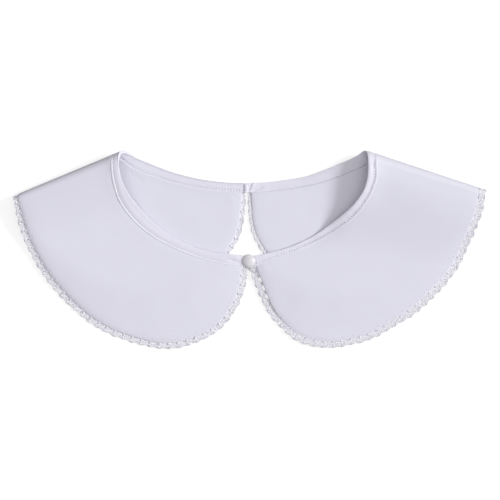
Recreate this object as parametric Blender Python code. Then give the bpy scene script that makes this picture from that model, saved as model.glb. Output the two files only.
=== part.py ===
"""A white cotton collar with a narrow lace edging, folded at both shoulders and laid flat.

Each half is drawn as a flat pattern, one folded wall from the button at the front to the
join at the back of the neck, and is then rolled over its shoulder fold. The front half
lies over the back half. +Y points to the back of the neck and +Z up from the table.
"""

import math
from collections import namedtuple

import bmesh
import bpy
import numpy as np

# Sizes in millimetres
MM = 0.001
CLOTH_EDGE = 1.2
CLOTH_MID = 1.8
PUFF_REACH = 9.0
BINDING_MID = 2.0
BINDING_EDGE = 1.1
LACE_THICK = 1.0
SCALLOP_PITCH = 6.3
SEAM_GAP = 0.3
LAYER_GAP = 0.3

# The shoulder fold, with its roll wider at the neck than at the hem
ROLL_NECK = 6.0
ROLL_HEM = 3.5
FALL_NECK = 52.0
FALL_HEM = 36.0
# How far outside the back half the front half starts and ends its drop to the table
DROP_START = 6.0
DROP_END = 22.0

# Numbers of steps along a half and across it
FRONT_STEPS = 22
FOLD_STEPS = 7
BACK_STEPS = 15
PANEL_ROWS = 11
CURVE_STEPS = 12

# The button and its thread loop
BUTTON_X = -0.5
BUTTON_Y = -7.8
BUTTON_RADIUS = 5.0
BUTTON_DOME = 4.3
BUTTON_RIM = 0.7
SHANK_RADIUS = 1.2
SHANK_HEIGHT = 1.3
LOOP_RADIUS = 2.3
LOOP_THREAD = 0.8
BUTTON_SEGMENTS = 24
LOOP_SEGMENTS = 16

# Table rows: x runs out from the centre line, y towards the back of the neck
Spot = namedtuple("Spot", "x y")
Band = namedtuple("Band", "neck_x neck_y seam_x seam_y")
Width = namedtuple("Width", "share width")
# A face's place across the binding, from its neck edge to its seam, and its thickness
Across = namedtuple("Across", "share thick")
# One scallop of the lace: how far through it, and its share of the lace's width
Scallop = namedtuple("Scallop", "phase reach")

Half = namedtuple(
    "Half",
    "side shoulder_neck shoulder_hem front_band back_band "
    "front_edge front_corner back_corner back_edge lace_width",
)

BINDING_SECTION = [
    Across(0.0, BINDING_EDGE),
    Across(0.14, BINDING_MID),
    Across(0.86, BINDING_MID),
    Across(1.0, BINDING_EDGE),
]

SCALLOP_SHAPE = [
    Scallop(0.0, 0.74),
    Scallop(0.25, 0.94),
    Scallop(0.5, 1.0),
    Scallop(0.75, 0.94),
]

LEFT = Half(
    side=-1,
    shoulder_neck=Spot(89.7, 68.9),
    shoulder_hem=Spot(159.4, 40.1),
    # The binding from the button to the shoulder
    front_band=[
        Band(1.9, -4.0, 1.9, -11.6),
        Band(5.2, -3.7, 5.9, -11.3),
        Band(15.8, -2.3, 16.5, -10.2),
        Band(24.2, -1.4, 27.9, -7.9),
        Band(35.5, 1.2, 43.1, -2.9),
        Band(47.0, 6.4, 54.5, 2.0),
        Band(58.2, 12.7, 65.9, 8.1),
        Band(65.9, 18.7, 75.0, 14.8),
        Band(73.5, 26.3, 83.4, 23.2),
        Band(81.1, 36.1, 91.3, 34.6),
        Band(87.2, 46.8, 95.9, 46.8),
        Band(90.2, 55.1, 97.0, 52.9),
        Band(90.9, 61.3, 97.1, 58.9),
    ],
    # The binding from the shoulder to the join at the back of the neck
    back_band=[
        Band(80.8, 65.4, 88.2, 62.2),
        Band(73.5, 62.0, 77.3, 55.1),
        Band(54.5, 54.7, 58.0, 48.4),
        Band(35.5, 49.8, 38.0, 43.4),
        Band(16.5, 47.2, 18.0, 41.0),
        Band(3.6, 46.8, 3.6, 40.1),
    ],
    # The cloth's outer edge from the button down and round to the shoulder
    front_edge=[
        Spot(5.6, -17.0),
        Spot(6.2, -24.0),
        Spot(8.3, -30.7),
        Spot(12.0, -38.4),
        Spot(16.7, -46.0),
        Spot(22.7, -52.2),
        Spot(30.3, -57.4),
        Spot(41.0, -61.9),
        Spot(53.0, -64.8),
        Spot(64.5, -64.6),
        Spot(75.5, -62.1),
        Spot(87.2, -58.6),
        Spot(98.0, -54.2),
        Spot(111.4, -46.0),
        Spot(124.9, -34.0),
        Spot(135.8, -21.9),
        Spot(144.0, -9.9),
        Spot(151.0, 3.2),
        Spot(156.6, 18.0),
        Spot(159.3, 28.5),
    ],
    front_corner=Spot(22.7, -52.2),
    back_corner=Spot(29.0, -13.5),
    # The hidden outer edge of the back, from the shoulder round to the slit
    back_edge=[
        Spot(149.0, 19.0),
        Spot(135.5, 3.0),
        Spot(115.0, -11.0),
        Spot(91.0, -20.5),
        Spot(66.0, -24.0),
        Spot(45.0, -21.5),
        Spot(29.0, -13.5),
        Spot(15.9, -0.3),
        Spot(9.4, 10.0),
        Spot(6.8, 18.3),
        Spot(5.9, 25.0),
        Spot(5.2, 31.0),
    ],
    lace_width=[
        Width(0.0, 3.0),
        Width(0.06, 3.3),
        Width(0.11, 4.4),
        Width(0.47, 4.5),
        Width(0.515, 3.2),
        Width(0.56, 4.5),
        Width(0.86, 4.5),
        Width(0.92, 3.2),
        Width(1.0, 3.0),
    ],
)

RIGHT = Half(
    side=1,
    shoulder_neck=Spot(82.5, 69.2),
    shoulder_hem=Spot(160.3, 43.7),
    front_band=[
        Band(-1.3, -4.0, -1.3, -11.8),
        Band(4.6, -3.6, 4.3, -11.3),
        Band(13.7, -1.8, 15.0, -7.0),
        Band(25.1, 1.2, 27.4, -3.2),
        Band(36.5, 5.7, 38.6, 1.4),
        Band(47.9, 11.8, 50.0, 6.9),
        Band(59.3, 20.2, 63.0, 14.6),
        Band(70.7, 30.2, 75.6, 25.4),
        Band(78.3, 40.0, 84.4, 38.2),
        Band(82.0, 48.8, 88.6, 48.0),
        Band(83.2, 56.0, 89.8, 54.4),
        Band(83.2, 62.1, 89.9, 59.8),
    ],
    back_band=[
        Band(75.0, 66.2, 83.6, 61.6),
        Band(63.1, 60.4, 70.7, 54.9),
        Band(51.7, 55.6, 57.3, 49.7),
        Band(40.3, 51.8, 44.0, 45.9),
        Band(25.1, 49.1, 26.0, 42.7),
        Band(9.9, 47.4, 10.5, 40.8),
        Band(-3.3, 46.8, -3.3, 39.9),
    ],
    front_edge=[
        Spot(6.2, -15.3),
        Spot(8.2, -20.0),
        Spot(10.4, -25.6),
        Spot(13.2, -33.0),
        Spot(17.6, -42.0),
        Spot(25.8, -51.6),
        Spot(35.0, -59.4),
        Spot(46.4, -63.2),
        Spot(57.5, -64.1),
        Spot(69.0, -62.4),
        Spot(84.0, -58.2),
        Spot(98.0, -50.5),
        Spot(111.6, -41.9),
        Spot(122.4, -32.8),
        Spot(133.7, -21.2),
        Spot(143.0, -9.6),
        Spot(150.2, 3.2),
        Spot(156.3, 18.4),
        Spot(159.3, 29.5),
    ],
    front_corner=Spot(22.2, -46.2),
    back_corner=Spot(27.0, -14.5),
    back_edge=[
        Spot(148.5, 20.0),
        Spot(134.5, 3.5),
        Spot(113.0, -10.5),
        Spot(89.0, -20.0),
        Spot(64.0, -24.0),
        Spot(43.0, -22.5),
        Spot(27.0, -14.5),
        Spot(13.4, -2.3),
        Spot(6.6, 8.0),
        Spot(3.7, 16.0),
        Spot(2.3, 23.5),
        Spot(1.8, 30.5),
    ],
    lace_width=[
        Width(0.0, 5.0),
        Width(0.08, 5.0),
        Width(0.14, 4.5),
        Width(0.47, 4.5),
        Width(0.515, 3.2),
        Width(0.56, 4.5),
        Width(0.86, 4.5),
        Width(0.92, 2.9),
        Width(1.0, 2.7),
    ],
)


def ease(share):
    """A smooth step from 0 to 1."""
    share = np.clip(share, 0.0, 1.0)
    return share * share * (3.0 - 2.0 * share)


class Curve:
    """A smooth line through points, read by the distance along it."""

    def __init__(self, points):
        points = np.asarray(points, dtype=float)
        before = np.vstack([2 * points[0] - points[1], points[:-1]])
        after = np.vstack([points[1:], 2 * points[-1] - points[-2]])
        slope = (after - before) / 2.0
        share = np.arange(CURVE_STEPS)[:, None] / CURVE_STEPS
        spans = []
        for i in range(len(points) - 1):
            start, end = points[i], points[i + 1]
            reach = np.linalg.norm(end - start)
            leave = slope[i] / np.linalg.norm(slope[i]) * reach
            arrive = slope[i + 1] / np.linalg.norm(slope[i + 1]) * reach
            spans.append(
                start * (2 * share**3 - 3 * share**2 + 1)
                + leave * (share**3 - 2 * share**2 + share)
                + end * (3 * share**2 - 2 * share**3)
                + arrive * (share**3 - share**2)
            )
        self.points = np.vstack(spans + [points[-1:]])
        steps = np.linalg.norm(np.diff(self.points, axis=0), axis=1)
        self.arc = np.concatenate([[0.0], np.cumsum(steps)])
        self.length = self.arc[-1]

    def at(self, distance):
        columns = [np.interp(distance, self.arc, column) for column in self.points.T]
        return np.stack(columns, axis=-1)

    def nearest(self, point):
        return self.arc[np.argmin(np.linalg.norm(self.points - point, axis=1))]

    def side_step(self, distance):
        """The unit direction out from the neck, on a line from the front to the back."""
        ahead = self.at(np.minimum(distance + 0.5, self.length))
        behind = self.at(np.maximum(distance - 0.5, 0.0))
        along = (ahead - behind) / np.linalg.norm(ahead - behind, axis=-1, keepdims=True)
        return np.stack([-along[..., 1], along[..., 0]], axis=-1)


class Fold:
    """One half's shoulder fold, which carries flat pattern points into space.

    A pattern point is (over, along): its distance over the fold, below zero on the front
    half, and its distance along the fold line from the neck.
    """

    def __init__(self, half):
        self.side = half.side
        self.start = np.array(half.shoulder_neck)
        line = np.array(half.shoulder_hem) - self.start
        self.length = np.linalg.norm(line)
        self.line = line / self.length
        self.inward = np.array([self.line[1], -self.line[0]])
        self.back_outline = np.array(half.back_edge + outline_of_seam(half.back_band))

    def radius(self, along):
        share = np.clip(along / self.length, -0.2, 1.1)
        return ROLL_NECK + (ROLL_HEM - ROLL_NECK) * share

    def arc(self, along):
        return math.pi * self.radius(along)

    def inset(self, along):
        return self.radius(along) + CLOTH_MID / 2

    def flat_front(self, spots):
        """Pattern points of places seen on the front half."""
        step = np.asarray(spots, dtype=float)[..., :2] - self.start
        along = step @ self.line
        return np.stack([self.inset(along) - step @ self.inward, along], axis=-1)

    def flat_back(self, spots):
        """Pattern points of places seen on the back half."""
        step = np.asarray(spots, dtype=float)[..., :2] - self.start
        along = step @ self.line
        over = self.arc(along) + step @ self.inward - self.inset(along)
        return np.stack([over, along], axis=-1)

    def front_height(self, plan, depth, along):
        """The height of the front half's underside over the table."""
        beyond = outside(plan, self.back_outline)
        drop = ease((beyond - DROP_START) / (DROP_END - DROP_START))
        low = (CLOTH_MID + LAYER_GAP) * (1.0 - drop)
        share = np.clip(along / self.length, 0.0, 1.0)
        fall = FALL_NECK + (FALL_HEM - FALL_NECK) * share
        return low + (2.0 * self.radius(along) - low) * (1.0 - ease(depth / fall))

    def place(self, pattern, thick):
        """The middle of the wall at pattern points, for a wall this thick there."""
        over, along = pattern[..., 0], pattern[..., 1]
        radius = self.radius(along)
        turn = np.clip(over / radius, 0.0, math.pi)
        depth = np.where(over < 0.0, -over, np.maximum(over - self.arc(along), 0.0))
        reach = depth + self.inset(along) - radius * np.sin(turn)
        plan = self.start + along[..., None] * self.line + reach[..., None] * self.inward
        height = np.where(
            over < 0.0,
            self.front_height(plan, depth, along),
            radius * (1.0 + np.cos(turn)),
        )
        return np.concatenate([plan, (height + thick / 2)[..., None]], axis=-1)

    def wall(self, pattern, thick):
        """The outer and inner faces of a wall, in metres."""
        step = 0.05
        over_step, along_step = np.array([step, 0.0]), np.array([0.0, step])
        over = self.place(pattern + over_step, thick) - self.place(pattern - over_step, thick)
        along = self.place(pattern + along_step, thick) - self.place(pattern - along_step, thick)
        out = np.cross(along, over)
        out /= np.linalg.norm(out, axis=-1, keepdims=True)
        middle = self.place(pattern, thick)
        outer = middle + out * thick[..., None] / 2
        inner = middle - out * thick[..., None] / 2
        mirror = np.array([self.side, 1.0, 1.0])
        return outer * mirror * MM, inner * mirror * MM


def outline_of_seam(band):
    """The seam's spots, from the join at the back of the neck to the shoulder."""
    return [Spot(row.seam_x, row.seam_y) for row in reversed(band)]


def outside(plan, outline):
    """How far points lie outside a closed outline, zero within it."""
    flat = plan.reshape(-1, 1, 2)
    start = outline[None]
    side = np.roll(outline, -1, axis=0)[None] - start
    share = ((flat - start) * side).sum(-1) / (side * side).sum(-1)
    near = start + np.clip(share, 0.0, 1.0)[..., None] * side
    distance = np.linalg.norm(flat - near, axis=-1).min(axis=1)
    below = flat[..., 1] < start[..., 1]
    next_below = flat[..., 1] < (start + side)[..., 1]
    rise = np.where(side[..., 1] == 0.0, 1.0, side[..., 1])
    crossing = start[..., 0] + (flat[..., 1] - start[..., 1]) / rise * side[..., 0]
    hits = ((below != next_below) & (flat[..., 0] < crossing)).sum(axis=1)
    return np.where(hits % 2 == 1, 0.0, distance).reshape(plan.shape[:-1])


def stations(curve, fold, start, end):
    """Distances along a curve, with the roll of the shoulder as steps of its own."""
    over, along = curve.points.T
    top = np.interp(0.0, over, curve.arc)
    under = np.interp(0.0, over - fold.arc(along), curve.arc)
    front = np.linspace(start, top, FRONT_STEPS + 1)
    roll = np.linspace(top, under, FOLD_STEPS + 1)
    back = np.linspace(under, end, BACK_STEPS + 1)
    return front, roll, back


def patch(start, end, near, far):
    """Points across a four-sided stretch of cloth, from its rungs and its long edges."""
    u = np.linspace(0.0, 1.0, len(near))[:, None, None]
    v = crowded(len(start))[None, :, None]
    along = (1 - u) * start[None] + u * end[None]
    across = (1 - v) * near[:, None] + v * far[:, None]
    first = (1 - v) * start[0] + v * start[-1]
    last = (1 - v) * end[0] + v * end[-1]
    return along + across - (1 - u) * first - u * last


def crowded(count):
    """Shares from 0 to 1, closer together at both ends."""
    share = np.linspace(0.0, 1.0, count)
    return (share + (1.0 - np.cos(math.pi * share)) / 2.0) / 2.0


def rung(start, end):
    """The straight row of pattern points from the neck seam to the outer edge."""
    share = crowded(PANEL_ROWS)[:, None]
    return (1 - share) * start + share * end


def half_curves(half, fold):
    """The neck edge, the binding's seam and the cloth's outer edge in the pattern."""
    front, back = np.array(half.front_band), np.array(half.back_band)
    neck = Curve(np.vstack([fold.flat_front(front[:, :2]), fold.flat_back(back[:, :2])]))
    seam = Curve(np.vstack([fold.flat_front(front[:, 2:]), fold.flat_back(back[:, 2:])]))
    # The cloth's neck seam lies a seam gap outside the binding's
    distances = np.linspace(0.0, seam.length, 4 * CURVE_STEPS)
    inner = Curve(seam.at(distances) + SEAM_GAP * seam.side_step(distances))
    front_start = inner.at(inner.nearest(fold.flat_front(half.front_edge[0])))
    back_end = inner.at(inner.nearest(fold.flat_back(half.back_edge[-1])))
    rows = [front_start[None], fold.flat_front(half.front_edge)]
    rows += [fold.flat_back(half.back_edge), back_end[None]]
    return neck, seam, inner, Curve(np.vstack(rows))


def panel_pattern(half, fold, seam, edge):
    """Pattern points of one half: front, shoulder roll and back."""
    start = seam.nearest(edge.points[0])
    end = seam.nearest(edge.points[-1])
    low_corner = edge.nearest(fold.flat_front(half.front_corner))
    far_corner = edge.nearest(fold.flat_back(half.back_corner))
    near = [seam.at(part) for part in stations(seam, fold, start, end)]
    far = [edge.at(part) for part in stations(edge, fold, low_corner, far_corner)]
    share = crowded(PANEL_ROWS)
    front_end = edge.at(share * low_corner)
    back_end = edge.at(edge.length - share * (edge.length - far_corner))
    front = patch(front_end, rung(near[0][-1], far[0][-1]), near[0], far[0])
    roll = [rung(a, b) for a, b in zip(near[1][1:-1], far[1][1:-1])]
    back = patch(rung(near[2][0], far[2][0]), back_end, near[2], far[2])
    return np.concatenate([front, np.array(roll), back])


def panel_thickness(pattern):
    """Thin at the turned edges and fuller away from them."""
    edges = [pattern[0], pattern[-1], pattern[:, 0], pattern[:, -1]]
    rim = np.concatenate(edges)
    distance = np.linalg.norm(pattern[:, :, None] - rim[None, None], axis=-1).min(axis=-1)
    return CLOTH_EDGE + (CLOTH_MID - CLOTH_EDGE) * ease(distance / PUFF_REACH)


def collar_half(half, fold, seam, edge):
    pattern = panel_pattern(half, fold, seam, edge)
    return fold.wall(pattern, panel_thickness(pattern))


def binding_half(fold, neck, seam):
    """The folded strip that covers the neck edge of one half."""
    lines = []
    for curve in (neck, seam):
        parts = stations(curve, fold, 0.0, curve.length)
        distances = np.concatenate([parts[0], parts[1][1:-1], parts[2]])
        lines.append(curve.at(distances))
    share = np.array([row.share for row in BINDING_SECTION])
    thick = np.array([row.thick for row in BINDING_SECTION])
    pattern = lines[0][:, None] * (1 - share)[None, :, None]
    pattern = pattern + lines[1][:, None] * share[None, :, None]
    return fold.wall(pattern, np.broadcast_to(thick, pattern.shape[:2]))


def lace_half(half, fold, edge):
    """The scalloped edging along the whole outer edge of one half."""
    count = round(edge.length / SCALLOP_PITCH)
    phases = np.array([row.phase for row in SCALLOP_SHAPE])
    reaches = np.array([row.reach for row in SCALLOP_SHAPE])
    share = (np.arange(count)[:, None] + phases[None]).ravel() / count
    reach = np.append(np.tile(reaches, count), reaches[0])
    share = np.append(share, 1.0)
    table = np.array(half.lace_width)
    width = np.interp(share, table[:, 0], table[:, 1]) * reach
    distance = share * edge.length
    base = edge.at(distance)
    out = edge.side_step(distance)
    near = base + out * SEAM_GAP
    far = near + out * (width - SEAM_GAP)[:, None]
    pattern = np.stack([near, far], axis=1)
    return fold.wall(pattern, np.full(pattern.shape[:2], LACE_THICK))


def wall_mesh(name, outer, inner, color, roughness):
    """A closed solid between two grids of points."""
    rows, columns = outer.shape[:2]
    mesh = bmesh.new()
    top = [[mesh.verts.new(point) for point in row] for row in outer]
    low = [[mesh.verts.new(point) for point in row] for row in inner]
    for i in range(rows - 1):
        for j in range(columns - 1):
            mesh.faces.new([top[i][j], top[i + 1][j], top[i + 1][j + 1], top[i][j + 1]])
            mesh.faces.new([low[i][j], low[i][j + 1], low[i + 1][j + 1], low[i + 1][j]])
    for i in range(rows - 1):
        for j in (0, columns - 1):
            mesh.faces.new([top[i][j], low[i][j], low[i + 1][j], top[i + 1][j]])
    for j in range(columns - 1):
        for i in (0, rows - 1):
            mesh.faces.new([top[i][j], top[i][j + 1], low[i][j + 1], low[i][j]])
    return add_object(name, mesh, color, roughness)


def turned_mesh(name, profile, segments, color, roughness):
    """A closed solid turned about Z from a profile of (radius, height) rows."""
    mesh = bmesh.new()
    rings = []
    for radius, height in profile:
        if radius == 0.0:
            rings.append([mesh.verts.new((0.0, 0.0, height * MM))])
            continue
        angles = [2 * math.pi * k / segments for k in range(segments)]
        points = [(radius * math.cos(a), radius * math.sin(a), height) for a in angles]
        rings.append([mesh.verts.new([value * MM for value in point]) for point in points])
    for low, high in zip(rings, rings[1:]):
        for k in range(segments):
            after = (k + 1) % segments
            if len(low) == 1:
                mesh.faces.new([low[0], high[k], high[after]])
            elif len(high) == 1:
                mesh.faces.new([low[k], high[0], low[after]])
            else:
                mesh.faces.new([low[k], high[k], high[after], low[after]])
    return add_object(name, mesh, color, roughness)


def add_object(name, mesh, color, roughness):
    bmesh.ops.recalc_face_normals(mesh, faces=mesh.faces[:])
    data = bpy.data.meshes.new(name)
    mesh.to_mesh(data)
    mesh.free()
    data.shade_smooth()
    data.set_sharp_from_angle(angle=math.radians(50))
    thing = bpy.data.objects.new(name, data)
    bpy.context.scene.collection.objects.link(thing)
    material = bpy.data.materials.new(name)
    material.use_nodes = True
    shader = material.node_tree.nodes["Principled BSDF"]
    shader.inputs["Base Color"].default_value = color
    shader.inputs["Roughness"].default_value = roughness
    data.materials.append(material)
    return thing


def button_profile():
    """A flat base on a short shank under a half-ball."""
    base = SHANK_HEIGHT
    rows = [(0.0, 0.0), (SHANK_RADIUS, 0.0), (SHANK_RADIUS, base)]
    rows.append((BUTTON_RADIUS - BUTTON_RIM, base))
    steps = 7
    for k in range(steps):
        angle = math.pi / 2 * k / steps
        rows.append((BUTTON_RADIUS * math.cos(angle), base + BUTTON_RIM + dome(angle)))
    rows.append((0.0, base + BUTTON_RIM + dome(math.pi / 2)))
    return rows


def dome(angle):
    return (BUTTON_DOME - BUTTON_RIM) * math.sin(angle)


def loop_mesh(name, color, roughness):
    """A closed ring of thread round the shank."""
    mesh = bmesh.new()
    sides = 6
    rings = []
    for i in range(LOOP_SEGMENTS):
        turn = 2 * math.pi * i / LOOP_SEGMENTS
        ring = []
        for k in range(sides):
            angle = 2 * math.pi * k / sides
            radius = LOOP_RADIUS + LOOP_THREAD / 2 * math.cos(angle)
            height = LOOP_THREAD / 2 * math.sin(angle)
            point = (radius * math.cos(turn), radius * math.sin(turn), height)
            ring.append(mesh.verts.new([value * MM for value in point]))
        rings.append(ring)
    for i in range(LOOP_SEGMENTS):
        low, high = rings[i], rings[(i + 1) % LOOP_SEGMENTS]
        for k in range(sides):
            after = (k + 1) % sides
            mesh.faces.new([low[k], high[k], high[after], low[after]])
    return add_object(name, mesh, color, roughness)


WHITE_COTTON = (0.72, 0.71, 0.80, 1.0)
BINDING_COTTON = (0.76, 0.75, 0.83, 1.0)
LACE_COTTON = (0.78, 0.77, 0.82, 1.0)
PEARL = (0.74, 0.71, 0.72, 1.0)


def main():
    for thing in list(bpy.data.objects):
        bpy.data.objects.remove(thing, do_unlink=True)
    for half, word in ((LEFT, "left"), (RIGHT, "right")):
        fold = Fold(half)
        neck, seam, inner, edge = half_curves(half, fold)
        wall_mesh(f"collar_{word}", *collar_half(half, fold, inner, edge), WHITE_COTTON, 0.9)
        wall_mesh(f"binding_{word}", *binding_half(fold, neck, seam), BINDING_COTTON, 0.9)
        wall_mesh(f"lace_{word}", *lace_half(half, fold, edge), LACE_COTTON, 0.95)
    # The button stands on the binding's ends, just clear of them
    seat = button_seat() + SEAM_GAP
    button = turned_mesh("button", button_profile(), BUTTON_SEGMENTS, PEARL, 0.25)
    button.location = (BUTTON_X * MM, BUTTON_Y * MM, seat * MM)
    loop = loop_mesh("button_loop", BINDING_COTTON, 0.9)
    loop.location = (BUTTON_X * MM, BUTTON_Y * MM, (seat + LOOP_THREAD / 2) * MM)


def button_seat():
    """The highest point of the binding under the thread loop."""
    reach = LOOP_RADIUS + LOOP_THREAD / 2
    turns = [2 * math.pi * k / LOOP_SEGMENTS for k in range(LOOP_SEGMENTS)]
    tops = []
    for half in (LEFT, RIGHT):
        fold = Fold(half)
        for turn in turns:
            x = half.side * (BUTTON_X + reach * math.cos(turn))
            spot = fold.flat_front([x, BUTTON_Y + reach * math.sin(turn)])
            tops.append(fold.place(spot, np.array(BINDING_MID))[2] + BINDING_MID / 2)
    return max(tops)


main()
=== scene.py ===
"""The looks of a white cotton collar with a narrow lace edging, folded and laid flat.

The collar's two halves are worked out again from the sizes of their solids, as fine cloth
with sewn edges. Lengths are in millimetres until a mesh is made. +Y points to the back of
the neck, and each half has its own coordinates, with x running out from the centre line.
"""

import math
from collections import namedtuple
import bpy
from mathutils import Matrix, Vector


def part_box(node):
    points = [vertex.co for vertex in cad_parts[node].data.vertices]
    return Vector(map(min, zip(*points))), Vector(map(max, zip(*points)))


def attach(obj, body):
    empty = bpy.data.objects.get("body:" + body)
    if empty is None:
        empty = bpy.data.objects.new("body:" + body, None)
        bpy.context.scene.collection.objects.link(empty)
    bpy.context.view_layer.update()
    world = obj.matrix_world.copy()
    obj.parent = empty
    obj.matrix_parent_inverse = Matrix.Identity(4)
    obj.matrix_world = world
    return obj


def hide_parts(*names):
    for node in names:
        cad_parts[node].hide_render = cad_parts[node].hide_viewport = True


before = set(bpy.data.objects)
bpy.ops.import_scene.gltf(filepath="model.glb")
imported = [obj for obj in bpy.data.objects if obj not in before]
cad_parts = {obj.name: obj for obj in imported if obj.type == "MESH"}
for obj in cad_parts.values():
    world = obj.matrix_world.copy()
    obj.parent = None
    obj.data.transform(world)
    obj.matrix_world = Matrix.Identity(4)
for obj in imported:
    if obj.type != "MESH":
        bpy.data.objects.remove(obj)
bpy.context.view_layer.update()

from types import SimpleNamespace

import bmesh
import bpy
import numpy as np
from mathutils import Vector
from mathutils.kdtree import KDTree

# Sizes in millimetres, the same as the solids'
MM = 0.001
CLOTH_MID = 1.8
LACE_THICK = 1.0
SCALLOP_PITCH = 6.3
LACE_FULL = 4.5
SEAM_GAP = 0.3
LAYER_GAP = 0.3
ROLL_NECK = 6.0
ROLL_HEM = 3.5
DROP_START = 2.0
DROP_END = 36.0
BUTTON_X = -0.5
BUTTON_Y = -7.8
BUTTON_RADIUS = 5.0
BUTTON_DOME = 3.0
BUTTON_RIM = 0.4
SHANK_RADIUS = 1.2
SHANK_HEIGHT = 0.5
LOOP_RADIUS = 2.3
LOOP_THREAD = 0.8
LOOP_TWIST = 1.6

# The cloth: its thickness at the neck seam, and how it thins towards the lace
INNER_EDGE = 1.95
FRONT_PUFF = 0.3
EDGE_REACH = 2.4
SEAM_REACH = 4.0
FRONT_BLEND = 10.0
BACK_THINNING = 0.5
PUCKER_DEPTH = 0.15
PUCKER_REACH = 1.6
LEAST_CLOTH = 0.8
EDGE_ROUND = 0.5
NECK_RISE_REACH = 8.5

# The binding: a folded strip with a valley of stitches between its band and the seam's ridge
BINDING_CUT = 10.0
BINDING_FULL = 1.8
BINDING_ROUND = 0.15
BINDING_START = 0.4
BINDING_JOIN = 0.03
BACK_SHARE = 0.53
BACK_BLEND = 0.05
RUFFLE = 0.03
STITCH_IN = 1.7
STITCH_PITCH = 1.9
STITCH_WIDTH = 0.45
STITCH_THREAD = 0.17

# The stitches just inside the outer edge
EDGE_STITCH_IN = 2.1
EDGE_STITCH_PITCH = 3.3
EDGE_STITCH_THREAD = 0.13

# Steps of the fine meshes
STEPS = {"front": 170, "fold": 26, "back": 110, "rows": 72}
BINDING_STEPS = {"front": 330, "fold": 36, "back": 300}
CURVE_STEPS = 12
BUTTON_SIDES = 96
DOME_STEPS = 27
LOOP_STEPS = 64
RIM_ANGLES = [60, 30, 0, -30, -60]

# Threads of the lace
CORD = 0.42
CORD_TWIST = 1.7
STRAND_OFF = 0.48
STRAND_SIZE = 0.56
PICOT_CORD = 0.36
FOOT_CORD = 0.25
BAR_THREAD = 0.24
TACK_THREAD = 0.12
KNOT_RADIUS = 0.62
KNOT_SIDES = 10
THREAD_SIDES = 5
GROUND_STEPS = 8
GROUND_HEIGHT = 0.14
GROUND_THICK = 0.3
LOBE_SHIFT = 0.57

# The floor
FLOOR_HALF = 2000.0
FLOOR_LEVEL = -0.2

# The lights: a sun low on the right, and a surround that is brightest overhead
KEY_POWER = 2.92
KEY_SPREAD = 14.0
KEY_AZIMUTH = 12.0
KEY_ELEVATION = 27.0
SKY_LOW = (0.2, 0.2, 0.202, 1.0)
SKY_HIGH = (1.44, 1.44, 1.455, 1.0)

# The camera looks straight down on a field 350 mm wide
FIELD = 350.0
LENS = 150.0
SENSOR = 36.0
CAMERA_X = 0.56
CAMERA_Y = 0.14

# A place on one half, seen from above
Spot = namedtuple("Spot", "x y")
# A place on the neck edge and the one on the binding's seam across from it
Band = namedtuple("Band", "neck_x neck_y seam_x seam_y")
# A width, a depth or a gap, at its share of the way along an edge from the button
Width = namedtuple("Width", "share width")
# How far the neck edge or the lace stands up, at its share of the way along it
Rise = namedtuple("Rise", "share rise")
# A soft ridge, or a trough below zero, between two places on the front or back of a half
Crease = namedtuple("Crease", "x1 y1 x2 y2 height width")
# How far the binding drops at its neck edge, or rises below zero, and over what distance
Lip = namedtuple("Lip", "share drop reach")
# How far the binding stands off its plain level, at its distance from the seam
Level = namedtuple("Level", "from_seam height")
# How strongly a relief shows, at its share of the way from the button to the back join
Strength = namedtuple("Strength", "share strength")


def rows_of(kind, *rows):
    """A table of one kind of row."""
    return [kind(*row) for row in rows]


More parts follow.
